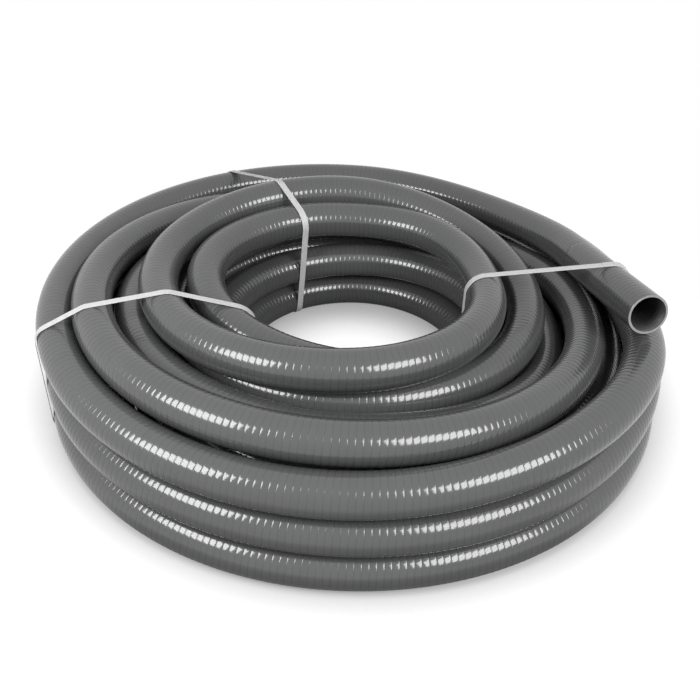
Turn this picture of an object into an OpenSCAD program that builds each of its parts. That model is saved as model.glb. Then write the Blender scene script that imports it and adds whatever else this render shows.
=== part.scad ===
// A long flexible drain hose wound into a loose ring, held by three flat straps, one open end left free.
// Millimetres. The eye of the ring stands on +Z, the underside lies on z = 0, and azimuth 0 is +X.

/* [Hose] */
// Outside diameter of the hose
hose_d = 50; // [46:0.5:54]
// Wall of the hose
hose_wall = 2.75; // [2.25:0.25:4]
// Distance from one groove between two ribs to the next
rib_pitch = 7.6; // [6.4:0.4:10]
// Depth of the groove between two ribs
groove_depth = 0.6; // [0.4:0.1:1.2]
// Width of the groove between two ribs
groove_w = 2; // [1.2:0.1:2.6]
// Length of the ribbed free end, from its open mouth to the wound hose
end_l = 180; // [120:5:200]

/* [Winding] */
// Radius of the innermost turns, at the middle of the hose
eye_r = 187; // [180:1:230]
// Distance from one turn to the next, as a share of the hose diameter
pitch_ratio = 1.015; // [1.012:0.001:1.03]

/* [Straps] */
// Width of a strap
strap_w = 9.5; // [6:0.5:14]
// Thickness of a strap
strap_t = 0.6; // [0.5:0.1:1.2]
// Room between a strap and the hose under it
strap_gap = 0.3; // [0.2:0.1:0.6]
// Length of the welded overlap on the strap nearest the free end
weld_l = 26; // [15:1:40]

/* [Show] */
// The node to show

/* [Hidden] */

hose_r = hose_d / 2;
bore_r = hose_r - hose_wall;
turn_pitch = hose_d * pitch_ratio;

// The underside is flattened by a tenth of the diameter, so the lowest turns lie on the floor.
flat_depth = hose_d / 10;
floor_z = hose_r - flat_depth;

// Each strap lies in an upright plane: its azimuth over the outermost turn, and at the edge of the eye.
strap_out_r = eye_r + 4.2 * turn_pitch;
strap_in_r = eye_r - 0.45 * turn_pitch;
left_az = [202, 222];
back_az = [123, 123];
right_az = [-4, -20];
// The hose gives way over a strap, this far to each side.
relief_az = 15;

// The winding, from the free end to the inner end: turns round the eye, columns out, levels up.
// One column or level is one turn_pitch. Between stations the hose runs on a smooth curve.
winding = [
  // the outer turns, from the top down
  [0, 2.43, 2.85], [0.125, 2.83, 2.1], [0.25, 3.24, 2.15], [0.375, 3.73, 2.2],
  [0.5, 3.95, 2.3], [0.75, 3.86, 2.05], [0.9375, 3.83, 2.31], [1, 3.5, 2],
  [1.0625, 3.58, 1.75], [1.125, 3.9, 1.47], [1.1875, 4.03, 1.53], [1.25, 4, 1.4],
  [1.5, 4, 1.05], [1.75, 3.88, 1], [2, 4.05, 1], [2.0625, 4.22, 1.01],
  [2.125, 4.6, 0.7], [2.1875, 4.15, 0.5], [2.25, 4, 0.4],
  // the lowest layer, from the outside in
  [2.5, 4, 0], [2.75, 3.93, 0], [3, 3.93, 0], [3.25, 3, 0],
  [3.5, 3, 0], [3.75, 2.93, 0], [4, 2.93, 0], [4.25, 2, 0],
  [4.5, 2, 0], [4.75, 1.93, 0], [5, 1.93, 0], [5.25, 1, 0],
  [5.5, 1, 0], [5.75, 0.93, 0], [6, 0.92, 0], [6.125, 0.65, 0.6],
  // the second layer, from the inside out
  [6.25, 0.6, 1.05], [6.5, 1.3, 1], [6.75, 2.45, 1.05], [7, 2.96, 1.1],
  [7.0625, 2.92, 1], [7.125, 2.92, 0.95],
  // the loose turns on top, which cross each other
  [7.25, 2.8, 1.15], [7.375, 2.65, 2.1], [7.5, 3, 2.6], [7.75, 3.05, 2.7],
  [8, 2.25, 1.8], [8.25, 1.75, 1.05], [8.375, 1.75, 1.6], [8.5, 2.05, 2.1],
  [8.75, 2.2, 2.15], [9, 1.35, 1.2], [9.125, 0.85, 1.6], [9.25, 0.3, 2.1],
  [9.375, 0.5, 2.05], [9.5, 0.9, 1.95], [9.75, 1.05, 2.15], [10, 0.8, 2.1],
  [10.25, 0.2, 3.1], [10.5, 1.35, 2.9], [10.75, 1.3, 3.2],
  // the inner turns, from the top down
  [11, -0.5, 2.75], [11.125, -0.7, 2.75], [11.25, -0.8, 2.75], [11.375, -0.35, 2.75],
  [11.5, 0.2, 2.75], [11.75, -0.2, 2.05], [12, -0.1, 1.4], [12.25, -0.4, 1.2],
  [12.5, 0, 1.05], [12.625, 0, 1.05], [12.8125, 0, 0.3],
  [13, -0.2, 0], [13.25, -0.1, 0], [13.4, -0.15, 0], [13.5, -0.3, 0]
];

// A curve through the stations: each has the slope of its neighbours, weighted by their distance.
last = len(winding) - 1;
function place(i) = [winding[i][1], winding[i][2]];
function rise(i) = (place(i + 1) - place(i)) / (winding[i + 1][0] - winding[i][0]);
function slope(i) =
  i == 0 ? rise(0) : i == last ? rise(last - 1)
  : (rise(i - 1) * (winding[i + 1][0] - winding[i][0]) + rise(i) * (winding[i][0] - winding[i - 1][0]))
    / (winding[i + 1][0] - winding[i - 1][0]);
function hermite(i, u, h) =
  (2 * u ^ 3 - 3 * u ^ 2 + 1) * place(i) + (u ^ 3 - 2 * u ^ 2 + u) * h * slope(i)
  + (3 * u ^ 2 - 2 * u ^ 3) * place(i + 1) + (u ^ 3 - u ^ 2) * h * slope(i + 1);
function before(turn) = min(last - 1, len([for (s = winding) if (s[0] <= turn) 1]) - 1);
function section(turn) =
  let (i = before(turn), h = winding[i + 1][0] - winding[i][0], p = hermite(i, (turn - winding[i][0]) / h, h))
  [eye_r + p[0] * turn_pitch, floor_z + max(0, p[1]) * turn_pitch];
function centre(turn) = let (p = section(turn)) [p[0] * cos(360 * turn), p[0] * sin(360 * turn), p[1]];
function unit(v) = v / norm(v);
function heading(turn) = unit(centre(turn + 0.001) - centre(turn - 0.001));

// The hose as rings of points: a straight run of one diameter, the turns, and a straight run again.
sides = 6;
rings_per_turn = 24;
first_turn = 1 / rings_per_turn;
last_turn = 13.5 - 1 / rings_per_turn;
turns = [for (k = [1 : round(last_turn * rings_per_turn)]) k / rings_per_turn];
out_dir = -heading(first_turn);
in_dir = heading(last_turn);
joint = centre(first_turn) + hose_d * out_dir;
route = concat([joint], [for (t = turns) centre(t)], [centre(last_turn) + hose_d * in_dir]);
headings = concat([-out_dir], [for (t = turns) heading(t)], [in_dir]);

// The plane of a strap: a point of it at the edge of the eye, the way out, and its side.
function flat_ray(az, r) = r * [cos(az), sin(az), 0];
function strap_from(az) = flat_ray(az[1], strap_in_r);
function strap_out(az) = unit(flat_ray(az[0], strap_out_r) - strap_from(az));
function strap_side(az) = cross([0, 0, 1], strap_out(az));

// Azimuth of that plane, moved sideways by shift, at a radius.
function azimuth_at(az, r, shift = 0) =
  let (o = strap_out(az), f = strap_from(az) + shift * strap_side(az), k = f * o,
    p = f + (sqrt(k ^ 2 - f * f + r ^ 2) - k) * o) atan2(p.y, p.x);

// Height of the hose's underside: the floor, or the top of the strap that it lies on.
function apart(a, b) = abs((a - b + 540) % 360 - 180);
function under(p) =
  min([for (az = [left_az, back_az, right_az]) apart(atan2(p.y, p.x), azimuth_at(az, norm([p.x, p.y])))])
    < relief_az ? strap_t + strap_gap : 0;

function ring(p, d, r, low) =
  let (side = unit(cross(d, [0, 0, 1])), up = cross(side, d))
  [for (k = [0 : sides - 1])
    let (a = 360 * k / sides, v = p + r * (cos(a) * side + sin(a) * up)) [v.x, v.y, max(v.z, low)]];
outer_rings = [for (i = [0 : len(route) - 1]) ring(route[i], headings[i], hose_r, under(route[i]))];
bore_rings = [for (i = [0 : len(route) - 1])
  ring(route[i], headings[i], bore_r, under(route[i]) + hose_wall / 2)];

// The ring's box is set over the origin.
edge_x = [for (r = outer_rings) for (v = r) v.x];
edge_y = [for (r = outer_rings) for (v = r) v.y];
eye_at = -[min(edge_x) + max(edge_x), min(edge_y) + max(edge_y), 0] / 2;

// The least distance between two stretches of the hose that are more than this many rings apart.
neighbours = 8;
end_points = [for (k = [1 : 10]) joint + out_dir * end_l * k / 10];
free_route = concat([for (k = [len(end_points) - 1 : -1 : 0]) end_points[k]], route);
least_gap = min([for (i = [0 : len(free_route) - 1]) for (j = [i + neighbours : 1 : len(free_route) - 1])
  if (norm(free_route[i] - free_route[j]) > 0) norm(free_route[i] - free_route[j])]) - hose_d;
echo(least_gap_mm = least_gap);
mouth = joint + end_l * out_dir + eye_at;
echo(mouth_mm = mouth, mouth_dir = out_dir, eye_at_mm = eye_at);
length_m = (hose_d * 2 + end_l
  + sum([for (i = [1 : len(turns)]) norm(route[i + 1] - route[i])])) / 1000;
function sum(v, i = 0, s = 0) = i == len(v) ? s : sum(v, i + 1, s + v[i]);
echo(hose_length_m = length_m);

// One hollow tube along all the turns, its rings joined by triangles and closed by a flat ring at each end.
module hose_coil() {
  n = len(route);
  per_ring = 2 * sides;
  function at(i, k, bore) = per_ring * i + (bore ? sides : 0) + (k % sides);
  color("DimGray")
    translate(eye_at)
    polyhedron(
      points = [for (i = [0 : n - 1]) each concat(outer_rings[i], bore_rings[i])],
      faces = concat(
        [for (i = [0 : n - 2]) for (k = [0 : sides - 1]) each [
          [at(i, k, false), at(i + 1, k, false), at(i + 1, k + 1, false)],
          [at(i, k, false), at(i + 1, k + 1, false), at(i, k + 1, false)],
          [at(i, k, true), at(i + 1, k + 1, true), at(i + 1, k, true)],
          [at(i, k, true), at(i, k + 1, true), at(i + 1, k + 1, true)]
        ]],
        [for (k = [0 : sides - 1]) each [
          [at(0, k, false), at(0, k + 1, false), at(0, k + 1, true)],
          [at(0, k, false), at(0, k + 1, true), at(0, k, true)],
          [at(n - 1, k, false), at(n - 1, k + 1, true), at(n - 1, k + 1, false)],
          [at(n - 1, k, false), at(n - 1, k, true), at(n - 1, k + 1, true)]
        ]]
      )
    );
}

// The free end: a plain round bore, ribs outside, cut square at the mouth.
module hose_end() {
  grooves = floor((end_l - groove_w) / rib_pitch);
  color("DimGray")
    translate(eye_at + joint)
    rotate([0, acos(out_dir.z), atan2(out_dir.y, out_dir.x)])
    rotate_extrude($fn = 96)
    polygon(concat(
      [[bore_r, 0], [hose_r, 0]],
      [for (k = [1 : grooves]) each [
        [hose_r, k * rib_pitch - groove_w / 2],
        [hose_r - groove_depth, k * rib_pitch],
        [hose_r, k * rib_pitch + groove_w / 2]
      ]],
      [[hose_r, end_l], [bore_r, end_l]]
    ));
}

// The turn at which the hose meets a strap's plane, found by going back and forth between the two.
function meets(az, n, shift, turn, tries = 4) = tries == 0 ? turn
  : meets(az, n, shift, n + azimuth_at(az, section(max(0, turn))[0], shift) / 360, tries - 1);

// Where the hose passes through a strap's plane: its place in the plane, its tilt and its stretch there.
function passes(az, shift) =
  let (o = strap_out(az), side = strap_side(az), f = strap_from(az) + shift * side,
    k = (f - joint) * side / (out_dir * side),
    on_turns = [for (n = [0 : ceil(last_turn)])
      let (t = meets(az, n, shift, n + azimuth_at(az, eye_r, shift) / 360))
      if (t >= first_turn && t <= last_turn) [centre(t), heading(t)]],
    on_end = [if (k > -hose_d && k < end_l) [joint + k * out_dir, out_dir]])
  [for (c = concat(on_end, on_turns)) if ((c[0] - f) * o > -hose_d)
    [[(c[0] - f) * o, c[0].z], atan2(c[1].z, c[1] * o), 1 / abs(c[1] * side)]];

module strap_inside(az) {
  reach = eye_r + 8 * turn_pitch;
  intersection() {
    hull()
      for (edge = [-1, 1], c = passes(az, edge * strap_w / 2))
        translate(c[0]) rotate(c[1]) scale([c[2], 1]) circle(hose_r + strap_gap, $fn = 24);
    translate([-hose_d * 2, strap_t]) square(reach);
  }
}

// A shape in a strap's plane, as thick as the strap is wide.
module in_plane(az) {
  color("WhiteSmoke")
    translate(eye_at + strap_from(az))
    rotate([90, 0, atan2(strap_out(az).y, strap_out(az).x)])
    linear_extrude(strap_w, center = true)
    children();
}

module strap(az) {
  in_plane(az)
    difference() {
      offset(r = strap_t, $fn = 24) strap_inside(az);
      strap_inside(az);
    }
}

// The welded strap has a second layer over the free end, where its two ends overlap.
module strap_weld(az) {
  free_end = passes(az, 0)[0][0];
  in_plane(az)
    intersection() {
      difference() {
        offset(r = 2 * strap_t, $fn = 24) strap_inside(az);
        offset(r = strap_t / 2, $fn = 24) strap_inside(az);
      }
      translate(free_end - [weld_l / 2, 0]) square([weld_l, 2 * hose_d]);
    }
}

module strap_left() strap(left_az);

module strap_back() strap(back_az);

module strap_right() {
  strap(right_az);
  strap_weld(right_az);
}

hose_coil();
hose_end();
strap_left();
strap_back();
strap_right();
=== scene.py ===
"""A long flexible drain hose wound into a loose ring, with three flat straps, dressed over its CAD frame.

Everything is in metres. The eye of the ring stands on +Z, and z = 0 is the floor.
"""

from __future__ import annotations

import logging
import math
from dataclasses import dataclass, field
from enum import Enum
from functools import cached_property

import bpy
import numpy as np
from bpy.types import ID, Material, Node, NodeSocket, NodeTree, Object
from mathutils import Matrix, Vector

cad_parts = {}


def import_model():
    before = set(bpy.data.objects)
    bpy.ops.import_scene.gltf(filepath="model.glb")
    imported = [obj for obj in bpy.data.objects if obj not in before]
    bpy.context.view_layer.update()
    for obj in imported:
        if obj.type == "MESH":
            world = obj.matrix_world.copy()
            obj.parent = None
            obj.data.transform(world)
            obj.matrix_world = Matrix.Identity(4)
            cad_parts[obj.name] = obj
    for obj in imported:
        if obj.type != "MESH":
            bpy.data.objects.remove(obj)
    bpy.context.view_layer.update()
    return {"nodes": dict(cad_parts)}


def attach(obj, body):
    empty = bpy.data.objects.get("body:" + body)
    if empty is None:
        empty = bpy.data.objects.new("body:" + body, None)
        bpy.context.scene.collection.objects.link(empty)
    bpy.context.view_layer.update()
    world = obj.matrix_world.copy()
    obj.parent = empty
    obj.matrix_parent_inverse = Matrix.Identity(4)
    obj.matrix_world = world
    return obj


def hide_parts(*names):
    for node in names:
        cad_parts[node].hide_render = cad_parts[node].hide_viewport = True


LOG = logging.getLogger("drain_hose")

Array = np.ndarray
Colour = tuple[float, float, float]

FULL_TURN = 2 * math.pi
TINY = 1e-9
UV_LAYER = "winding"
WHITE: Colour = (1.0, 1.0, 1.0)
SMOOTH_STEP = {"interpolation_type": "SMOOTHSTEP", "clamp": True}
RANGE_LIMITS = ("From_Min", "From_Max", "To_Min", "To_Max")


class Slot(Enum):
    """The record's material slots."""

    HOSE = "hose"
    STRAP = "strap"


class HoseFace(Enum):
    """Which material of a hose piece a face takes, by its index."""

    RIBS = 0
    CUT = 1
    BORE = 2


@dataclass(frozen=True)
class StrapPlace:
    """A strap's CAD node, and its plane's azimuths in degrees at the ring's outside and at the eye."""

    node: str
    outer_azimuth: float
    inner_azimuth: float
    welded: bool = False


STRAPS = (
    StrapPlace("strap_left", 202.0, 222.0),
    StrapPlace("strap_back", 123.0, 123.0),
    StrapPlace("strap_right", -4.0, -20.0, welded=True),
)


# --- Meshes from arrays ---


def unit(vectors: Array) -> Array:
    """Scales vectors to length one, along the last axis."""
    return vectors / np.linalg.norm(vectors, axis=-1, keepdims=True)


def circle(azimuth: Array | float) -> Array:
    """The level directions at azimuths in radians: their cosines and sines."""
    return np.stack([np.cos(azimuth), np.sin(azimuth)], axis=-1)


def crosswise(way: Array) -> tuple[Array, Array]:
    """The level direction across each way, and the upward one."""
    side = unit(np.cross(way, [0.0, 0.0, 1.0]))
    return side, np.cross(side, way)


def length_to(points: Array) -> Array:
    """The length of a line from its first point to each of its points."""
    return np.concatenate([[0.0], np.cumsum(np.linalg.norm(np.diff(points, axis=0), axis=1))])


def linked(name: str, data: ID) -> Object:
    """Puts a new object into the scene.

    Args:
        name: Its name.
        data: The mesh, lamp or camera that it holds.

    Returns:
        The object, at the origin.
    """
    thing = bpy.data.objects.new(name, data)
    bpy.context.scene.collection.objects.link(thing)
    return thing


@dataclass
class Shell:
    """Points and faces worked out as arrays, on their way to a mesh."""

    points: Array
    faces: Array
    corner_uv: Array
    face_kind: Array
    flat: Array

    @classmethod
    def plain(cls, points: Array, faces: Array, corner_uv: Array, kind: int = 0, flat: bool = False) -> Shell:
        """A shell whose faces are all alike, with a UV place for each corner or one for all."""
        uv = np.broadcast_to(corner_uv, (len(faces), 4, 2))
        return cls(points.reshape(-1, 3), faces, uv, np.full(len(faces), kind), np.full(len(faces), flat))

    @classmethod
    def caps(cls, faces: Array, kind: int = 0) -> Shell:
        """Flat faces without points of their own, for joining to the shell whose points they use."""
        return cls.plain(np.empty((0, 3)), faces, np.zeros(2), kind, flat=True)

    def joined(self, other: Shell) -> Shell:
        """Puts another shell's faces after this one's.

        Args:
            other: A shell with its own points, or caps.

        Returns:
            One shell that holds both, whose points aren't merged.
        """
        shift = len(self.points) if len(other.points) else 0
        return Shell(
            np.vstack([self.points, other.points]),
            np.vstack([self.faces, np.where(other.faces < 0, -1, other.faces + shift)]),
            np.concatenate([self.corner_uv, other.corner_uv]),
            np.concatenate([self.face_kind, other.face_kind]),
            np.concatenate([self.flat, other.flat]),
        )

    def to_object(self, name: str) -> Object:
        """Makes a mesh object: four corners a face, or three where the fourth is -1.

        Args:
            name: The name of the piece.

        Returns:
            The linked object, at the origin.
        """
        used, inverse = np.unique(self.faces[self.faces >= 0], return_inverse=True)
        corners = (self.faces >= 0).sum(axis=1)
        starts = np.concatenate([[0], np.cumsum(corners)[:-1]])
        mesh = bpy.data.meshes.new(name)
        mesh.vertices.add(len(used))
        mesh.vertices.foreach_set("co", self.points[used].astype(np.float32).ravel())
        mesh.loops.add(int(corners.sum()))
        mesh.loops.foreach_set("vertex_index", inverse.astype(np.int32).ravel())
        mesh.polygons.add(len(self.faces))
        mesh.polygons.foreach_set("loop_start", starts.astype(np.int32))
        mesh.polygons.foreach_set("material_index", self.face_kind.astype(np.int32))
        mesh.update(calc_edges=True)
        mesh.polygons.foreach_set("use_smooth", ~self.flat)
        layer = mesh.uv_layers.new(name=UV_LAYER)
        layer.data.foreach_set("uv", self.corner_uv[self.faces >= 0].astype(np.float32).ravel())
        mesh.update()
        mesh.validate()
        return linked(name, mesh)


def grid_faces(rows: int, columns: int, close_rows: bool = False) -> tuple[Array, Array, Array]:
    """Quads of a grid whose columns run round a closed ring.

    Args:
        rows: How many rings there are.
        columns: How many points each ring has.
        close_rows: Whether the last ring joins the first one again.

    Returns:
        One quad a line: its corner numbers, where point (row, column) is row * columns + column, and the row
        and the column of each corner, which count on past the last.
    """
    quads = np.arange((rows if close_rows else rows - 1) * columns)[:, None]
    row, column = quads // columns + [0, 1, 1, 0], quads % columns + [0, 0, 1, 1]
    return row % rows * columns + column % columns, row, column


def cell_corners(grid: Array) -> Array:
    """The four corners of each cell of a grid, in order round it, one cell a line."""
    corners = np.stack([grid[:-1, :-1], grid[1:, :-1], grid[1:, 1:], grid[:-1, 1:]], axis=2)
    return corners.reshape(-1, 4, *grid.shape[2:])


# --- The route of the hose ---

# Stations of the hose's route: turns round the eye, columns out, levels up
STATIONS = np.array([
    # the outer turns, from the top down
    (0, 2.43, 2.85), (0.125, 2.83, 2.1), (0.25, 3.24, 2.15), (0.375, 3.73, 2.2),
    (0.5, 3.95, 2.3), (0.75, 3.86, 2.05), (0.9375, 3.83, 2.31), (1, 3.5, 2),
    (1.0625, 3.58, 1.75), (1.125, 3.9, 1.47), (1.1875, 4.03, 1.53), (1.25, 4, 1.4),
    (1.5, 4, 1.05), (1.75, 3.88, 1), (2, 4.05, 1), (2.0625, 4.22, 1.01),
    (2.125, 4.6, 0.7), (2.1875, 4.15, 0.5), (2.25, 4, 0.4),
    # the lowest layer, from the outside in
    (2.5, 4, 0), (2.75, 3.93, 0), (3, 3.93, 0), (3.25, 3, 0),
    (3.5, 3, 0), (3.75, 2.93, 0), (4, 2.93, 0), (4.25, 2, 0),
    (4.5, 2, 0), (4.75, 1.93, 0), (5, 1.93, 0), (5.25, 1, 0),
    (5.5, 1, 0), (5.75, 0.93, 0), (6, 0.92, 0), (6.125, 0.65, 0.6),
    # the second layer, from the inside out
    (6.25, 0.6, 1.05), (6.5, 1.3, 1), (6.75, 2.45, 1.05), (7, 2.96, 1.1),
    (7.0625, 2.92, 1), (7.125, 2.92, 0.95),
    # the loose turns on top, which cross each other
    (7.25, 2.8, 1.15), (7.375, 2.65, 2.1), (7.5, 3, 2.6), (7.75, 3.05, 2.7),
    (8, 2.25, 1.8), (8.25, 1.75, 1.05), (8.375, 1.75, 1.6), (8.5, 2.05, 2.1),
    (8.75, 2.2, 2.15), (9, 1.35, 1.2), (9.125, 0.85, 1.6), (9.25, 0.3, 2.1),
    (9.375, 0.5, 2.05), (9.5, 0.9, 1.95), (9.75, 1.05, 2.15), (10, 0.8, 2.1),
    (10.25, 0.2, 3.1), (10.5, 1.35, 2.9), (10.75, 1.3, 3.2),
    # the inner turns, from the top down
    (11, -0.5, 2.75), (11.125, -0.7, 2.75), (11.25, -0.8, 2.75), (11.375, -0.35, 2.75),
    (11.5, 0.2, 2.75), (11.75, -0.2, 2.05), (12, -0.1, 1.4), (12.25, -0.4, 1.2),
    (12.5, 0, 1.05), (12.625, 0, 1.05), (12.8125, 0, 0.3),
    (13, -0.2, 0), (13.25, -0.1, 0), (13.4, -0.15, 0), (13.5, -0.3, 0),
])


@dataclass(frozen=True)
class UprightPlane:
    """The upright plane that a strap lies in: a point of it at the edge of the eye, and its level way out."""

    start: Array
    out: Array

    @property
    def side(self) -> Array:
        """The level way square to the plane."""
        return np.array([-self.out[1], self.out[0]])

    def azimuth_at(self, radius: Array, shift: float = 0.0) -> Array:
        """The azimuth of the plane, moved sideways, at a radius.

        A point of it is f + t o, whose distance from the axis is the radius where
        t = sqrt((f . o)^2 - f . f + radius^2) - f . o.

        Args:
            radius: Distances from the eye's axis.
            shift: How far to its side the plane is moved.

        Returns:
            Azimuths in radians, from minus pi to pi.
        """
        start = self.start + shift * self.side
        near = start @ self.out
        step = np.sqrt(np.maximum(near * near - start @ start + radius * radius, 0.0)) - near
        return np.arctan2(start[1] + step * self.out[1], start[0] + step * self.out[0])


@dataclass
class Winding:
    """The route of the hose's centreline, from its open mouth inwards to its inner end.

    Between stations, columns and levels follow a cubic Hermite curve whose slope at a station is the mean of
    the rises beside it, weighted by distance. The straps' planes run from the first of strap_columns to the
    second. The hose is lifted by strap_rise over a strap, fully within strap_near degrees of its plane and not
    at all beyond strap_far.
    """

    diameter: float = 0.050
    eye_radius: float = 0.187
    turn_pitch: float = 0.05075
    floor_height: float = 0.020
    free_length: float = 0.180
    rings_per_turn: int = 24
    sides_of_cad: int = 6
    heading_step: float = 0.001
    ruler_steps: int = 12000
    rest_softness: float = 0.0012
    strap_columns: tuple[float, float] = (-0.45, 4.2)
    strap_rise: float = 0.0009
    strap_near: float = 4.0
    strap_far: float = 12.0

    @cached_property
    def slopes(self) -> Array:
        """Columns and levels per turn at each station."""
        steps = np.diff(STATIONS[:, 0])[:, None]
        rises = np.diff(STATIONS[:, 1:], axis=0) / steps
        middle = (rises[:-1] * steps[1:] + rises[1:] * steps[:-1]) / (steps[1:] + steps[:-1])
        return np.vstack([rises[:1], middle, rises[-1:]])

    def plane(self, place: StrapPlace) -> UprightPlane:
        """The plane of one of the straps.

        Args:
            place: Where the strap is.

        Returns:
            The plane through its azimuths at the eye and at the ring's outside.
        """
        radii = self.eye_radius + self.turn_pitch * np.array(self.strap_columns)
        start, end = radii[:, None] * circle(np.radians([place.inner_azimuth, place.outer_azimuth]))
        return UprightPlane(start, unit(end - start))

    @property
    def first_turn(self) -> float:
        """Where the free end's straight run leaves the winding."""
        return 1 / self.rings_per_turn

    @property
    def last_turn(self) -> float:
        """Where the inner end's straight run leaves the winding."""
        return float(STATIONS[-1, 0]) - 1 / self.rings_per_turn

    def section(self, turn: Array) -> Array:
        """Radius from the eye's axis and height above the floor, by cubic Hermite between stations.

        Args:
            turn: Turns round the eye, of any shape.

        Returns:
            The same shape with a last axis of radius and height.
        """
        turn = np.asarray(turn, dtype=float)
        index = np.clip(np.searchsorted(STATIONS[:, 0], turn, side="right") - 1, 0, len(STATIONS) - 2)
        span = STATIONS[index + 1, 0] - STATIONS[index, 0]
        u = ((turn - STATIONS[index, 0]) / span)[..., None]
        span = span[..., None]
        start, end = STATIONS[index, 1:], STATIONS[index + 1, 1:]
        place = (
            (2 * u**3 - 3 * u**2 + 1) * start
            + (u**3 - 2 * u**2 + u) * span * self.slopes[index]
            + (3 * u**2 - 2 * u**3) * end
            + (u**3 - u**2) * span * self.slopes[index + 1]
        )
        radius = self.eye_radius + place[..., 0] * self.turn_pitch
        height = self.floor_height + np.maximum(0, place[..., 1]) * self.turn_pitch
        return np.stack([radius, height], axis=-1)

    def centre(self, turn: Array) -> Array:
        """The centreline about the eye's own axis, before the ring's box is centred."""
        place, azimuth = self.section(turn), FULL_TURN * np.asarray(turn, dtype=float)
        return np.concatenate([place[..., :1] * circle(azimuth), place[..., 1:]], axis=-1)

    def heading(self, turn: Array) -> Array:
        """The way the centreline runs, by a central difference of one step to each side."""
        turn = np.asarray(turn, dtype=float)
        return unit(self.centre(turn + self.heading_step) - self.centre(turn - self.heading_step))

    @cached_property
    def eye_at(self) -> Array:
        """The shift that puts the box of the CAD's rings over the origin."""
        rings = round(self.last_turn * self.rings_per_turn)
        turns = np.array([1, *range(1, rings + 1), rings]) / self.rings_per_turn
        middles, ways = self.centre(turns), self.heading(turns)
        middles[0] -= self.diameter * ways[0]
        middles[-1] += self.diameter * ways[-1]
        side, up = crosswise(ways)
        angle = (FULL_TURN * np.arange(self.sides_of_cad) / self.sides_of_cad)[:, None, None]
        rim = middles + self.diameter / 2 * (np.cos(angle) * side + np.sin(angle) * up)
        shift = -(rim.min(axis=(0, 1)) + rim.max(axis=(0, 1))) / 2
        return np.array([shift[0], shift[1], 0.0])

    @cached_property
    def _ruler(self) -> tuple[Array, Array]:
        """Turns and the length of hose from the winding's start to each, on a fine table."""
        turns = np.linspace(self.first_turn, self.last_turn, self.ruler_steps)
        return turns, length_to(self.centre(turns))

    @property
    def lead(self) -> float:
        """Length from the open mouth to the winding: the free end and a straight run of one diameter."""
        return self.free_length + self.diameter

    @cached_property
    def length(self) -> float:
        """The whole length of the hose."""
        return self.lead + float(self._ruler[1][-1]) + self.diameter

    def at_length(self, run: Array) -> tuple[Array, Array, Array]:
        """The centreline at a length of hose from the mouth, and two directions across it.

        Args:
            run: Lengths from the mouth, of any shape.

        Returns:
            Points in the CAD frame, the level direction across the hose, and the upward one.
        """
        run = np.asarray(run, dtype=float)
        turns, lengths = self._ruler
        turn = np.interp(run - self.lead, lengths, turns)
        along = self.heading(turn)
        before = np.minimum(run - self.lead, 0.0)
        beyond = np.maximum(run - self.lead - lengths[-1], 0.0)
        point = self.centre(turn) + (before + beyond)[..., None] * along + self.eye_at
        return point, *crosswise(along)

    def underside(self, point: Array) -> Array:
        """Height that the hose rests on: the floor, rising smoothly to the straps' tops near their planes.

        Args:
            point: Points of the centreline in the CAD frame.

        Returns:
            The height of the rest under each.
        """
        plan = point[..., :2] - self.eye_at[:2]
        azimuth = np.arctan2(plan[..., 1], plan[..., 0])
        radius = np.hypot(plan[..., 0], plan[..., 1])
        nearest = np.full(azimuth.shape, math.pi)
        for place in STRAPS:
            apart = azimuth - self.plane(place).azimuth_at(radius)
            nearest = np.minimum(nearest, np.abs((apart + math.pi) % FULL_TURN - math.pi))
        share = np.clip((self.strap_far - np.degrees(nearest)) / (self.strap_far - self.strap_near), 0, 1)
        return self.strap_rise * share * share * (3 - 2 * share)

    def around(self, run: Array, angle: Array, radius: Array | float, wall: float = 0.0) -> Array:
        """Points on a round section carried along the route, softly flattened where it rests.

        A point is centre + radius (cos angle side + sin angle up), and its height z becomes
        low + k ln(1 + exp((z - low) / k)), which is z well above the rest and never less than it.

        Args:
            run: Lengths from the mouth.
            angle: Angles round the section, in radians, that broadcast with run.
            radius: Radii that broadcast with run.
            wall: How far above the rest the surface stays.

        Returns:
            The points, in the CAD frame.
        """
        centre, side, up = self.at_length(run)
        angle, radius = np.asarray(angle)[..., None], np.asarray(radius)[..., None]
        point = centre + radius * (np.cos(angle) * side + np.sin(angle) * up)
        low = self.underside(centre) + wall
        lift = (point[..., 2] - low) / self.rest_softness
        point[..., 2] = low + self.rest_softness * np.logaddexp(0.0, lift)
        return point


# --- Shader node groups and finishes ---


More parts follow.
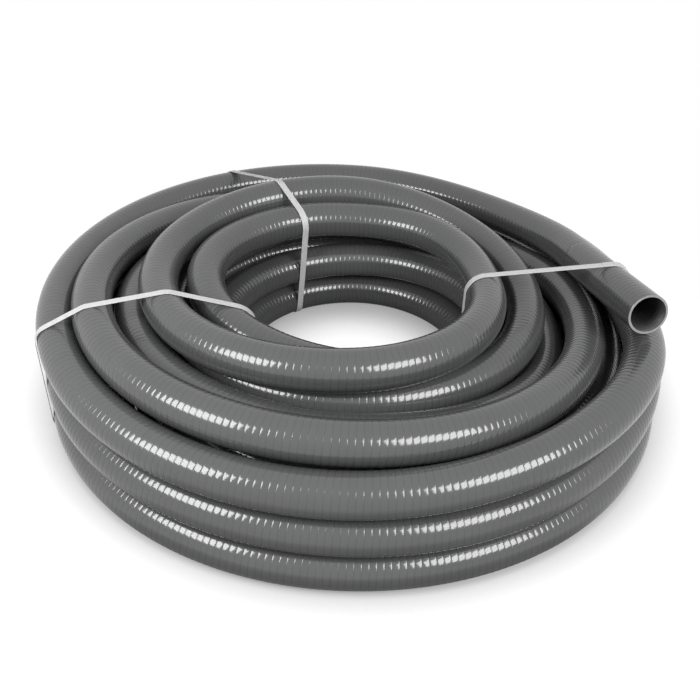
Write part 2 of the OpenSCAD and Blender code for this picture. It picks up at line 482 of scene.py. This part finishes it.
class Nodes:
    """A thin hand for building one node tree."""

    def __init__(self, tree: NodeTree) -> None:
        """Empties the tree that nodes go into, and keeps it."""
        self.tree = tree
        tree.nodes.clear()

    def add(self, kind: str, settings: dict | None = None, **inputs: object) -> Node:
        """Adds a node, sets it up and feeds its inputs.

        Args:
            kind: The node's type.
            settings: Properties of the node itself.
            **inputs: Values or output sockets by input name, with _ for a blank, or by number as i0, i1, ...

        Returns:
            The node.
        """
        node = self.tree.nodes.new(kind)
        for name, value in (settings or {}).items():
            setattr(node, name, value)
        for name, value in inputs.items():
            self.feed(node, int(name[1:]) if name[1:].isdigit() else name.replace("_", " "), value)
        return node

    def feed(self, node: Node, name: str | int, value: object) -> None:
        """Links an output socket to one of a node's inputs, or sets the input to a value."""
        if isinstance(value, NodeSocket):
            self.tree.links.new(value, node.inputs[name])
        else:
            node.inputs[name].default_value = value

    def math(self, operation: str, first: object, second: object = 0.0) -> NodeSocket:
        """A Math node of one operation on two values or sockets."""
        return self.add("ShaderNodeMath", {"operation": operation}, i0=first, i1=second).outputs[0]

    def total(self, start: object, *parts: tuple[NodeSocket, float]) -> NodeSocket:
        """A start with parts added to it one after another, each times its share."""
        for part, share in parts:
            start = self.math("ADD", start, self.math("MULTIPLY", part, share))
        return start

    def remap(self, value: NodeSocket, low: float, high: float, *ends: float) -> NodeSocket:
        """A smooth step over a value from low to high, between two ends, or 0 and 1 without them."""
        limits = dict(zip(RANGE_LIMITS, (low, high, *(ends or (0.0, 1.0)))))
        return self.add("ShaderNodeMapRange", SMOOTH_STEP, Value=value, **limits).outputs[0]

    def blend(self, factor: object, first: NodeSocket | Colour, second: NodeSocket | Colour) -> NodeSocket:
        """A colour between two, by a factor."""
        pair = [end if isinstance(end, NodeSocket) else (*end, 1.0) for end in (first, second)]
        return self.add("ShaderNodeMix", {"data_type": "RGBA"}, i0=factor, i6=pair[0], i7=pair[1]).outputs[2]

    def place(self) -> NodeSocket:
        """The place on the object, in metres."""
        return self.add("ShaderNodeTexCoord").outputs["Object"]

    def group(self, tree: NodeTree, **inputs: object) -> list[NodeSocket]:
        """What a node group puts out, in its own order."""
        return self.add("ShaderNodeGroup", {"node_tree": tree}, **inputs).outputs[:]

    def looked_at(self) -> tuple[NodeSocket, NodeSocket, NodeSocket]:
        """One where a thing is looked at directly, in a mirror image, or either way, and zero elsewhere."""
        path = self.add("ShaderNodeLightPath").outputs
        camera, mirror = path["Is Camera Ray"], path["Is Glossy Ray"]
        return camera, mirror, self.math("MAXIMUM", camera, mirror)


class Group(Nodes):
    """A node group that several finishes share."""

    def __init__(self, name: str, vector: str, sizes: dict[str, float]) -> None:
        """Starts the group with its inputs.

        Args:
            name: The group's name.
            vector: The name of its vector input.
            sizes: The defaults of its other inputs by name.
        """
        super().__init__(bpy.data.node_groups.new(name, "ShaderNodeTree"))
        interface = self.tree.interface
        interface.new_socket(vector, in_out="INPUT", socket_type="NodeSocketVector")
        for label, size in sizes.items():
            socket = interface.new_socket(label, in_out="INPUT", socket_type="NodeSocketFloat")
            socket.default_value = size
        self.given = self.add("NodeGroupInput").outputs

    def finished(self, **masks: NodeSocket) -> NodeTree:
        """Puts masks out of the group by name, and gives back its tree."""
        for label in masks:
            self.tree.interface.new_socket(label, in_out="OUTPUT", socket_type="NodeSocketFloat")
        self.add("NodeGroupOutput", **masks)
        return self.tree


def spiral_ribs() -> NodeTree:
    """Masks that follow the spiral: the rib number's fraction is 0 in the groove and 0.5 on the crown.

    Returns:
        A group that puts out Groove and a Tint of its own for each rib.
    """
    group = Group("spiral_ribs", "Rib", {"Groove Width": 0.12})
    number = group.add("ShaderNodeSeparateXYZ", i0=group.given["Rib"]).outputs
    share = group.math("FRACT", number[0])
    apart = group.math("SUBTRACT", 0.5, group.math("ABSOLUTE", group.math("SUBTRACT", share, 0.5)))
    groove = group.remap(group.math("DIVIDE", apart, group.given["Groove Width"]), 0.25, 1.0, 1.0, 0.0)
    whole = group.math("FLOOR", group.math("ADD", number[0], number[1]))
    tint = group.add("ShaderNodeTexWhiteNoise", {"noise_dimensions": "1D"}, W=whole)
    return group.finished(Groove=groove, Tint=tint.outputs["Value"])


def surface_grain() -> NodeTree:
    """Broad mottle, fine grain and sparse scuffs from noise at three scales.

    Returns:
        A group that puts out Mottle, Grain and Scuff, each from 0 to 1.
    """
    # scale, detail and distortion
    kinds = {
        "Mottle Scale": (9.0, 3.0, 0.0),
        "Grain Scale": (900.0, 2.0, 0.0),
        "Scuff Scale": (60.0, 5.0, 1.5),
    }
    group = Group("surface_grain", "Place", {name: kind[0] for name, kind in kinds.items()})
    noises = []
    for name, (_, detail, distortion) in kinds.items():
        inputs = {"Vector": group.given["Place"], "Scale": group.given[name]}
        noise = group.add("ShaderNodeTexNoise", Detail=detail, Distortion=distortion, **inputs)
        noises.append(noise.outputs["Fac"])
    mottle, scuff = group.remap(noises[0], 0.3, 0.7), group.remap(noises[2], 0.6, 0.75)
    return group.finished(Mottle=mottle, Grain=noises[1], Scuff=scuff)


@dataclass(frozen=True)
class Groups:
    """The node groups, each built once."""

    ribs: NodeTree = field(default_factory=spiral_ribs)
    grain: NodeTree = field(default_factory=surface_grain)


class Surface(Nodes):
    """A material with one Principled shader, whose inputs are fed one by one."""

    def __init__(self, name: str) -> None:
        """Starts the material.

        Args:
            name: The material's name.
        """
        self.material = bpy.data.materials.new(name)
        self.material.use_nodes = True
        super().__init__(self.material.node_tree)
        self.shader = self.add("ShaderNodeBsdfPrincipled")
        self.add("ShaderNodeOutputMaterial", Surface=self.shader.outputs[0])

    def winding(self) -> NodeSocket:
        """The place on the UV map."""
        return self.add("ShaderNodeUVMap", {"uv_map": UV_LAYER}).outputs[0]

    def colour(self, first: NodeSocket | Colour, second: Colour, *parts: tuple[NodeSocket, float]) -> None:
        """Sets the base colour: the first, turned to the second by the parts, each times its share."""
        self.feed(self.shader, "Base Color", self.blend(self.total(0.0, *parts), first, second))

    def rough(self, base: float, *parts: tuple[NodeSocket, float]) -> None:
        """Sets the roughness: a base and the parts, each times its share."""
        self.feed(self.shader, "Roughness", self.total(base, *parts))

    def bump(self, height: NodeSocket, strength: float, distance: float) -> None:
        """Sets the normal from a height."""
        bump = self.add("ShaderNodeBump", Strength=strength, Distance=distance, Height=height)
        self.feed(self.shader, "Normal", bump.outputs[0])


@dataclass(frozen=True)
class SpiralFinish:
    """Semi-gloss soft PVC with a stiff spiral moulded in, with painted shade darkening the groove between
    ribs.
    """

    groups: Groups
    body: Colour = (0.086, 0.087, 0.089)
    # painted shade for the grooves between the ribs
    groove: Colour = (0.066, 0.067, 0.069)
    faded: Colour = (0.098, 0.099, 0.101)
    roughness: float = 0.12
    ior: float = 1.65

    def material(self) -> Material:
        """Builds the material: ribs tinted one by one, painted shade in the duller grooves, and faint scuffs.
        """
        surface = Surface("hose_spiral_pvc")
        groove, tint = surface.group(self.groups.ribs, Rib=surface.winding())
        mottle, _, scuff = surface.group(self.groups.grain, Place=surface.place())
        worn = surface.total(0.0, (tint, 0.35), (mottle, 0.45))
        # the groove colour is painted shade, so that the shallow ribs show
        surface.colour(surface.blend(worn, self.body, self.faded), self.groove, (groove, 0.65))
        surface.rough(self.roughness, (groove, 0.10), (scuff, 0.06), (mottle, 0.03))
        surface.shader.inputs["IOR"].default_value = self.ior
        return surface.material


@dataclass(frozen=True)
class LinerFinish:
    """The smooth inner wall, with a faint bump and painted shade in soft bands that follow the spiral."""

    groups: Groups
    # darker than the outside: painted shade for the bore
    body: Colour = (0.060, 0.061, 0.063)
    # painted shade in the spiral's bands, and random mottle
    shadow: Colour = (0.042, 0.043, 0.045)
    roughness: float = 0.50

    def material(self) -> Material:
        """Builds the material: painted shade in soft bands that follow the spiral, with mottle, over a smooth
        wall.
        """
        surface = Surface("hose_inner_wall")
        groove, _ = surface.group(self.groups.ribs, Rib=surface.winding(), Groove_Width=0.30)
        mottle, _, scuff = surface.group(self.groups.grain, Place=surface.place())
        # painted shade: the wall is dark for the bore, and darker still in bands along the spiral
        surface.colour(self.body, self.shadow, (groove, 0.5), (mottle, 0.3))
        surface.rough(self.roughness, (scuff, 0.12))
        surface.bump(groove, strength=0.2, distance=0.0006)
        return surface.material


@dataclass(frozen=True)
class CutFinish:
    """The sawn end of the wall: paler and duller, with fine saw marks."""

    groups: Groups
    body: Colour = (0.36, 0.36, 0.365)
    torn: Colour = (0.24, 0.24, 0.245)
    roughness: float = 0.55

    def material(self) -> Material:
        """Builds the material: a patchy pale face with fine marks across it."""
        surface = Surface("hose_cut_face")
        scales = {"Mottle_Scale": 160.0, "Grain_Scale": 1800.0, "Scuff_Scale": 420.0}
        mottle, fine, scuff = surface.group(self.groups.grain, Place=surface.place(), **scales)
        surface.colour(self.body, self.torn, (mottle, 0.5), (scuff, 1.0))
        surface.rough(self.roughness, (scuff, 0.2))
        surface.bump(fine, strength=0.3, distance=0.0003)
        return surface.material


@dataclass(frozen=True)
class RibbonFinish:
    """White stretched polypropylene strapping with fine lengthwise ridges and a pressed diamond pattern."""

    groups: Groups
    body: Colour = (0.73, 0.73, 0.72)
    # painted shade in the pressed hollows, and scuffs
    hollow_shade_and_scuff: Colour = (0.58, 0.58, 0.57)
    roughness: float = 0.38
    milkiness: float = 0.6
    depth_of_light: float = 0.0015
    diamonds: int = 2
    ridges: int = 7

    def material(self) -> Material:
        """Builds the material: UV x runs along the ribbon in widths and UV y across it from 0 to 1."""
        surface = Surface("strap_ribbon")
        along, across = surface.add("ShaderNodeSeparateXYZ", i0=surface.winding()).outputs[:2]
        rising = self._wave(surface, surface.math("ADD", along, across), self.diamonds)
        falling = self._wave(surface, surface.math("SUBTRACT", along, across), self.diamonds)
        diamond = surface.remap(surface.math("MULTIPLY", rising, falling), -0.6, 0.6)
        scales = {"Mottle_Scale": 60.0, "Scuff_Scale": 300.0}
        mottle, _, scuff = surface.group(self.groups.grain, Place=surface.place(), **scales)
        # painted shade: darker in the hollows of the pressed diamonds
        pressed_hollow_shade = surface.math("SUBTRACT", 1.0, diamond)
        surface.colour(self.body, self.hollow_shade_and_scuff, (pressed_hollow_shade, 0.35), (scuff, 0.3))
        surface.rough(self.roughness, (mottle, 0.12))
        ridge = self._wave(surface, across, self.ridges)
        surface.bump(surface.total(diamond, (ridge, 0.25)), strength=0.2, distance=0.0003)
        inputs = surface.shader.inputs
        inputs["Subsurface Weight"].default_value = self.milkiness
        inputs["Subsurface Radius"].default_value = (1.0, 1.0, 1.0)
        inputs["Subsurface Scale"].default_value = self.depth_of_light
        return surface.material

    @staticmethod
    def _wave(surface: Surface, value: NodeSocket, waves: int) -> NodeSocket:
        """A sine with a number of waves while the value goes from 0 to 1."""
        return surface.math("SINE", surface.math("MULTIPLY", value, waves * FULL_TURN))


# --- The hose ---


@dataclass
class SpiralHose:
    """The hose: a smooth inner wall along its whole length, and the ribbed wall over it in lengths.

    Rows of the ribbed wall nearer to an end than end_share of a rib are drawn onto it. Where the hose rests,
    the outside of the inner wall stays liner_rest above the floor.
    """

    winding: Winding
    groups: Groups
    wall: float = 0.00275
    liner_wall: float = 0.0010
    liner_rest: float = 0.0008
    rib_pitch: float = 0.0076
    rib_shares: tuple[float, ...] = (0, 0.05, 0.12, 0.24, 0.76, 0.88, 0.95)
    groove_depth: float = 0.00028
    end_share: float = 0.04
    mouth_run: float = 0.1976
    lengths: int = 8
    sides: int = 24
    mouth_sides: int = 36
    wall_step: float = 0.022
    liner_step: float = 0.024

    @property
    def bore(self) -> float:
        """Radius of the bore."""
        return self.winding.diameter / 2 - self.wall

    def ribbed_wall(self, start: float, end: float, sides: int) -> Shell:
        """A length of the ribbed wall, closed at both ends, whose rows follow the spiral groove.

        Row j at angle a lies at length pitch (j + a / 2 pi) from the mouth, so a row that has gone round once
        meets the row one rib further on. A rib has a flat crown and rounded shoulders: at a share s of the
        pitch its depth is the groove's times (1 - 2 s) to the fourth. Rows beyond an end are drawn onto it,
        where doubles are one point and quads become triangles.

        Args:
            start: Length from the mouth where this piece begins.
            end: Length where it ends.
            sides: How many points go round.

        Returns:
            The closed shell.
        """
        share = np.array(self.rib_shares)
        depth = self.groove_depth * (1 - 2 * share) ** 4
        per_rib = len(share)
        lowest = math.floor(start / self.rib_pitch) - 2
        ribs = math.ceil(end / self.rib_pitch) + 1 - lowest
        row, column = np.arange(ribs * per_rib), np.arange(sides + 1)
        number = lowest + row // per_rib + share[row % per_rib]
        run = self.rib_pitch * (number[:, None] + column / sides)
        ident = row[:, None] * sides + column
        ident[:, sides] = (row + per_rib) * sides
        ends = (len(row) + per_rib) * sides
        near = self.end_share * self.rib_pitch
        ident = np.where(run <= start + near, ends + column % sides, ident)
        ident = np.where(run >= end - near, ends + sides + column % sides, ident)
        quads = cell_corners(ident)
        v = np.broadcast_to(column / sides, run.shape)
        held = np.clip(run, start, end)
        corner_uv = cell_corners(np.stack([held / self.rib_pitch - v, v], axis=-1))
        left, right = quads[:, 0] == quads[:, 1], quads[:, 2] == quads[:, 3]
        keep = ~(left & right)
        quads, corner_uv, left, right = quads[keep], corner_uv[keep], left[keep], right[keep]
        order = np.where(right[:, None], [0, 1, 2, -1], [0, 1, 2, 3])
        order = np.where(left[:, None], [0, 2, 3, -1], order)
        faces = np.where(order < 0, -1, np.take_along_axis(quads, np.maximum(order, 0), axis=1))
        corner_uv = np.take_along_axis(corner_uv, np.maximum(order, 0)[..., None], axis=1)

        known, first = np.unique(ident, return_index=True)
        angle = FULL_TURN * (np.broadcast_to(column, run.shape).ravel()[first] % sides) / sides
        ring = (known - ends) // sides
        lengths = np.where(ring == 0, start, np.where(ring == 1, end, held.ravel()[first]))
        rib_share = (lengths / self.rib_pitch - angle / FULL_TURN) % 1.0
        deep = np.interp(rib_share, np.append(share, 1.0), np.append(depth, depth[0]))
        points = self.winding.around(lengths, angle, self.winding.diameter / 2 - deep)
        faces = np.where(faces < 0, -1, np.searchsorted(known, np.maximum(faces, 0)))
        outside = Shell.plain(points, faces, corner_uv, HoseFace.RIBS.value)
        rims = np.searchsorted(known, ends + np.arange(2 * sides)).reshape(2, sides)
        return self._with_inside(outside, rims, start, end)

    def rings(self, run: Array, sides: int, radius: float, rest: float) -> Array:
        """Rings of points round the hose at lengths of it, which stay above the floor by the rest."""
        angle = FULL_TURN * np.arange(sides) / sides
        return self.winding.around(*np.meshgrid(run, angle, indexing="ij"), radius, rest)

    def _with_inside(self, outside: Shell, rims: Array, start: float, end: float) -> Shell:
        """Closes a ribbed wall with its inner surface and a flat ring at each end.

        Args:
            outside: The ribbed surface.
            rims: Its points at the start and at the end, in order round the hose.
            start: Length from the mouth where the piece begins.
            end: Length where it ends.

        Returns:
            The closed shell.
        """
        rows, sides = max(2, math.ceil((end - start) / self.wall_step) + 1), rims.shape[1]
        run = np.linspace(start, end, rows)
        points = self.rings(run, sides, self.bore + self.liner_wall, self.liner_rest)
        faces = grid_faces(rows, sides)[0][:, ::-1]
        both = outside.joined(Shell.plain(points, faces, np.zeros(2), HoseFace.BORE.value))
        first = len(outside.points) + np.arange(sides)
        last = first + (rows - 1) * sides
        beside = (np.arange(sides) + 1) % sides
        start_ring = np.stack([rims[0], rims[0, beside], first[beside], first], axis=-1)
        end_ring = np.stack([rims[1], last, last[beside], rims[1, beside]], axis=-1)
        return both.joined(Shell.caps(np.vstack([start_ring, end_ring]), HoseFace.CUT.value))

    def inner_wall(self) -> tuple[Shell, Array]:
        """The smooth inner wall as one closed tube: rings of its outside out, rings of the bore back.

        Returns:
            The shell, and the centres of its rings.
        """
        rows, sides = math.ceil(self.winding.length / self.liner_step) + 1, self.mouth_sides
        run = np.linspace(0, self.winding.length, rows)
        outer = self.rings(run, sides, self.bore + self.liner_wall, self.liner_rest)
        inner = self.rings(run, sides, self.bore, self.wall / 2)
        faces, row, column = grid_faces(2 * rows, sides, close_rows=True)
        lengths = np.concatenate([run, run[::-1]])[row % (2 * rows)]
        corner_uv = np.stack([lengths / self.rib_pitch - column / sides, column / sides], axis=-1)
        end_faces = row[:, 0] % rows == rows - 1
        kind = np.where(end_faces, HoseFace.CUT.value, HoseFace.BORE.value)
        points = np.concatenate([outer, inner[::-1]]).reshape(-1, 3)
        return Shell(points, faces, corner_uv, kind, end_faces), self.winding.at_length(run)[0]

    def build(self) -> None:
        """Makes the inner wall, the free end and the wound lengths, hangs them on the root and hides the CAD's
        hose.
        """
        finishes = [kind(self.groups).material() for kind in (SpiralFinish, CutFinish, LinerFinish)]
        shell, centres = self.inner_wall()
        liner = shell.to_object("hose_inner_wall")
        edges = np.linspace(self.mouth_run, self.winding.length, self.lengths + 1)
        walls = [self.ribbed_wall(0.0, self.mouth_run, self.mouth_sides).to_object("hose_free_end")]
        walls += [
            self.ribbed_wall(edges[i], edges[i + 1], self.sides).to_object(f"hose_wound_{i + 1}")
            for i in range(self.lengths)
        ]
        for piece in (liner, *walls):
            for finish in finishes:
                piece.data.materials.append(finish)
            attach(piece, "root")
            LOG.info("%s: %d faces", piece.name, len(piece.data.polygons))
        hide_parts("hose_coil", "hose_end")
        self.winding.length
        LOG.info("hose length %.3f m", self.winding.length)


# --- The straps ---


@dataclass
class Strap:
    """One flat ribbon drawn tight round all the turns that pass through its plane.

    Its section is given in widths across and in thicknesses out. It keeps gap off the hose. The second layer
    of its weld lies weld_lift thicknesses out. The line round the turns is worked out in string_ways
    directions.
    """

    winding: Winding
    place: StrapPlace
    width: float = 0.0095
    thickness: float = 0.0006
    gap: float = 0.0003
    spacing: float = 0.0016
    weld_length: float = 0.026
    weld_lift: float = 1.6
    string_ways: int = 4000
    rounds: int = 5
    section_across: tuple[float, ...] = (-0.5, -0.46, 0.46, 0.5, 0.5, 0.46, -0.46, -0.5)
    section_out: tuple[float, ...] = (0.22, 0.5, 0.5, 0.22, -0.22, -0.5, -0.5, -0.22)

    @cached_property
    def plane(self) -> UprightPlane:
        """The plane that the ribbon lies in."""
        return self.winding.plane(self.place)

    def in_plane(self, vectors: Array) -> Array:
        """The parts of vectors along the plane: the way out, and the height."""
        return np.stack([vectors[:, :2] @ self.plane.out, vectors[:, 2]], axis=-1)

    def passes(self, shift: float) -> tuple[Array, Array]:
        """Where the centreline goes through the plane, moved sideways: the free end first, then turn by turn.

        A turn is found in a few rounds: the radius at a turn gives the plane's azimuth, and that the turn.

        Args:
            shift: How far to its side the plane is moved.

        Returns:
            Points about the eye's own axis, and the way that the hose runs at each.
        """
        route = self.winding
        number = np.arange(0, math.ceil(route.last_turn) + 1)
        radius = np.full(len(number), route.eye_radius)
        for _ in range(self.rounds):
            turn = number + self.plane.azimuth_at(radius, shift) / FULL_TURN
            radius = route.section(np.maximum(turn, 0.0))[:, 0]
        turn = turn[(turn >= route.first_turn) & (turn <= route.last_turn)]
        first = np.array([route.first_turn])
        way = -route.heading(first)
        joint = route.centre(first) + route.diameter * way
        start = self.plane.start + shift * self.plane.side
        ahead = ((start - joint[:, :2]) @ self.plane.side) / (way[:, :2] @ self.plane.side)
        on_end = (ahead > -route.diameter) & (ahead < route.free_length)
        points = np.vstack([(joint + ahead[:, None] * way)[on_end], route.centre(turn)])
        ways = np.vstack([way[on_end], route.heading(turn)])
        outside = (points[:, :2] - start) @ self.plane.out > -route.diameter
        return points[outside], ways[outside]

    def loop(self, lift: float) -> Array:
        """The line of a string round the turns: the furthest point of the furthest turn in each direction.

        A round hose cut aslant is an ellipse: r wide, and r / |w . s| long in the direction m of w in the
        plane, for a hose that runs along w and a plane whose side is s. Its reach in a direction n is
        c . n + sqrt(r^2 + (1 / (w . s)^2 - 1) (r n . m)^2), and the line passes where that is reached.

        Args:
            lift: How far outside the hose, and above the floor, the line lies.

        Returns:
            Distance out and height, evenly spaced, without the first point again at the end.
        """
        found = [self.passes(share * self.width) for share in (-0.5, 0.0, 0.5)]
        points, ways = (np.vstack(part) for part in zip(*found))
        centres = self.in_plane(points - [*self.plane.start, 0.0])
        slant = self.in_plane(ways)
        long_way = slant / np.maximum(np.linalg.norm(slant, axis=1, keepdims=True), TINY)
        radius = self.winding.diameter / 2 + self.gap
        stretch = 1 / (ways[:, :2] @ self.plane.side) ** 2 - 1
        way = circle(np.linspace(0, FULL_TURN, self.string_ways, endpoint=False))
        along = way @ long_way.T
        depth = radius * np.sqrt(1 + stretch * along**2)
        best = np.argmax(way @ centres.T + depth, axis=1)
        row = np.arange(len(way))
        push = (stretch[best] * along[row, best])[:, None] * long_way[best]
        line = centres[best] + (radius * radius / depth[row, best])[:, None] * (way + push) + lift * way
        line[:, 1] = np.maximum(line[:, 1], lift)
        closed = np.vstack([line, line[:1]])
        run = length_to(closed)
        even = np.linspace(0, run[-1], round(run[-1] / self.spacing), endpoint=False)
        return np.stack([np.interp(even, run, part) for part in closed.T], axis=-1)

    def ribbon(self, line: Array, closed: bool) -> Shell:
        """A flat ribbon with rounded edges along a line in the strap's plane, flat on the hose under it.

        It faces up on a level stretch, straight away from the eye's axis down the ring's outside, and along
        the strap's plane in the eye, less the part of that which runs along the ribbon.

        Args:
            line: Distance out and height along the ribbon's middle.
            closed: Whether the ribbon joins its own start.

        Returns:
            The shell, with UV x along the ribbon in widths and UV y across it.
        """
        around = np.roll(line, -1, axis=0) - np.roll(line, 1, axis=0)
        ahead = unit(around if closed else np.gradient(line, axis=0))
        section = np.array([self.section_across, self.section_out])
        across, proud = section[0] * self.width, section[1] * self.thickness
        plan = self.plane.start + line[:, :1] * self.plane.out
        middle = np.concatenate([plan, line[:, 1:]], axis=-1)
        along = np.concatenate([ahead[:, :1] * self.plane.out, ahead[:, 1:]], axis=-1)
        level = np.where(ahead[:, 1:] > 0, unit(plan), self.plane.out)
        face = np.concatenate([ahead[:, 1:] * level, -ahead[:, :1]], axis=-1)
        face = unit(face - np.sum(face * along, axis=1, keepdims=True) * along)
        side = np.cross(along, face)
        points = middle[:, None] + proud[:, None] * face[:, None] + across[:, None] * side[:, None]
        rows, sides = len(line), len(across)
        faces, row, column = grid_faces(rows, sides, closed)
        run = length_to(line) / self.width
        run = np.append(run, run[-1] + self.spacing / self.width)
        corner_uv = np.stack([run[row], section[0, column % sides] + 0.5], axis=-1)
        shell = Shell.plain(points + self.winding.eye_at, faces, corner_uv, flat=True)
        if closed:
            return shell
        caps = np.array([[0, 1, 2, 3], [0, 3, 4, 7], [4, 5, 6, 7]])
        return shell.joined(Shell.caps(np.vstack([caps, caps[:, ::-1] + (rows - 1) * sides])))

    def build(self, finish: Material) -> None:
        """Makes the strap, with the second layer of its welded lap where this strap has one.

        Args:
            finish: The ribbon's material.
        """
        shell = self.ribbon(self.loop(self.thickness / 2), closed=True)
        if self.place.welded:
            line = self.loop(self.weld_lift * self.thickness)
            free_end = self.passes(0.0)[0][0]
            middle = (free_end[:2] - self.plane.start) @ self.plane.out
            near = (np.abs(line[:, 0] - middle) < self.weld_length / 2) & (line[:, 1] > free_end[2])
            shell = shell.joined(self.ribbon(line[near], closed=False))
        piece = shell.to_object(f"{self.place.node}_ribbon")
        piece.data.materials.append(finish)
        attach(piece, "root")
        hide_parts(self.place.node)
        LOG.info("%s: %d faces", piece.name, len(piece.data.polygons))


# --- The studio ---


@dataclass(frozen=True)
class Softbox:
    """One rectangular studio lamp, which points at a place on the object."""

    name: str
    place: tuple[float, float, float]
    size: tuple[float, float]
    power: float
    aim: tuple[float, float, float] = (0.0, 0.0, 0.08)

    def build(self) -> None:
        """Makes the lamp and turns it to its aim."""
        lamp = bpy.data.lights.new(self.name, "AREA")
        lamp.shape = "RECTANGLE"
        lamp.size, lamp.size_y = self.size
        lamp.energy = self.power
        holder = linked(self.name, lamp)
        holder.location = self.place
        way = Vector(self.aim) - Vector(self.place)
        holder.rotation_euler = way.to_track_quat("-Z", "Y").to_euler()


@dataclass
class Studio:
    """A pale floor, a pale room and two softboxes, with the camera.

    The floor's lift falls to least_lift of itself where only least_open of the air within halo is free: a
    painted soft shadow round the hose. It turns white between white_from and white_at from the ring's middle,
    and the white cards beside the ring begin between card_from and card_at.
    """

    eye: tuple[float, float, float] = (-0.00645, -0.98948, 0.73941)
    look_down: float = 35.797
    roll: float = 0.025
    lens: float = 43.777
    sensor: float = 36.0
    floor_half: float = 12.0
    floor_drop: float = 0.0002
    floor_colour: Colour = (0.30, 0.30, 0.30)
    floor_lift: float = 0.93
    least_open: float = 0.3
    least_lift: float = 0.3
    halo: float = 0.11
    white_from: float = 0.42
    white_at: float = 0.66
    card_from: float = 0.24
    card_at: float = 0.38
    room_colour: Colour = (0.76, 0.76, 0.76)
    room_strength: float = 0.25
    softboxes: tuple[Softbox, ...] = (
        Softbox("softbox_left", (-0.75, -0.65, 0.75), (0.54, 0.46), 8.2),
        Softbox("softbox_right", (1.05, -1.20, 1.24), (1.10, 0.8), 26.0),
    )

    def camera(self) -> None:
        """Makes the camera, tilted down from the level and rolled about its own way."""
        lens = bpy.data.cameras.new("camera")
        lens.lens, lens.sensor_width, lens.sensor_fit = self.lens, self.sensor, "HORIZONTAL"
        lens.clip_start, lens.clip_end = 0.01, 50.0
        holder = linked("camera", lens)
        tilt = Matrix.Rotation(math.radians(90 - self.look_down), 4, "X")
        holder.matrix_world = Matrix.Translation(self.eye) @ tilt @ Matrix.Rotation(self.roll, 4, "Z")
        bpy.context.scene.camera = holder

    def floor(self) -> None:
        """Makes the floor, a hair below zero."""
        mesh = bpy.data.meshes.new("studio_floor")
        half, low = self.floor_half, -self.floor_drop
        corners = [(-half, -half, low), (half, -half, low), (half, half, low), (-half, half, low)]
        mesh.from_pydata(corners, [], [(0, 1, 2, 3)])
        mesh.materials.append(self.floor_material())
        floor = linked("studio_floor", mesh)

    def floor_material(self) -> Material:
        """Builds the floor's material, which is matt.

        Where it is looked at, a glow lifts it to white by the share of free air above it, which leaves a
        painted soft shadow round the hose, and it runs out into plain white further off. Mirror images of it
        in the hose show the same white, and a white card on the left and on the right as well.

        Returns:
            The material.
        """
        material = bpy.data.materials.new("studio_floor")
        material.use_nodes = True
        hand = Nodes(material.node_tree)
        camera, mirror, seen = hand.looked_at()
        matt = hand.add("ShaderNodeBsdfDiffuse", Color=(*self.floor_colour, 1.0))
        # painted soft shadow: the glow dims where the hose takes away free air over the floor
        free = hand.add("ShaderNodeAmbientOcclusion", Distance=self.halo).outputs["AO"]
        painted_shadow_lift = hand.remap(free, self.least_open, 1.0, self.least_lift * self.floor_lift, self.floor_lift)
        lift = hand.math("MULTIPLY", camera, painted_shadow_lift)
        glow = hand.add("ShaderNodeEmission", Color=(*WHITE, 1.0), Strength=lift)
        both = hand.add("ShaderNodeAddShader", i0=matt.outputs[0], i1=glow.outputs[0])
        place = hand.place()
        away = hand.add("ShaderNodeVectorMath", {"operation": "LENGTH"}, i0=place).outputs["Value"]
        around = hand.math("MULTIPLY", seen, hand.remap(away, self.white_from, self.white_at))
        across = hand.math("ABSOLUTE", hand.add("ShaderNodeSeparateXYZ", i0=place).outputs["X"])
        cards = hand.math("MULTIPLY", mirror, hand.remap(across, self.card_from, self.card_at))
        far = hand.math("MAXIMUM", around, cards)
        white = hand.add("ShaderNodeEmission", Color=(*WHITE, 1.0), Strength=1.0)
        blend = hand.add("ShaderNodeMixShader", i0=far, i1=both.outputs[0], i2=white.outputs[0])
        hand.add("ShaderNodeOutputMaterial", Surface=blend.outputs[0])
        return material

    def room(self) -> None:
        """Sets the room's light: white where it or its mirror image is looked at, and even elsewhere."""
        world = bpy.data.worlds.new("studio_room")
        world.use_nodes = True
        hand = Nodes(world.node_tree)
        seen = hand.looked_at()[2]
        colour = hand.blend(seen, self.room_colour, WHITE)
        strength = hand.total(self.room_strength, (seen, 1.0 - self.room_strength))
        light = hand.add("ShaderNodeBackground", Color=colour, Strength=strength)
        hand.add("ShaderNodeOutputWorld", Surface=light.outputs[0])
        bpy.context.scene.world = world

    def build(self) -> None:
        """Makes the whole studio."""
        self.camera()
        self.floor()
        self.room()
        for softbox in self.softboxes:
            softbox.build()
        bpy.context.scene.view_settings.view_transform = "Standard"


def main() -> None:
    """Builds the studio, the hose and the straps over the CAD frame."""
    logging.basicConfig(level=logging.INFO, format="%(name)s: %(message)s")
    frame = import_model()
    LOG.info("frame has %d nodes", len(frame["nodes"]))
    Studio().build()
    groups = Groups()
    winding = Winding()
    SpiralHose(winding, groups).build()
    ribbon = RibbonFinish(groups).material()
    for place in STRAPS:
        Strap(winding, place).build(ribbon)


if __name__ == "__main__":
    main()
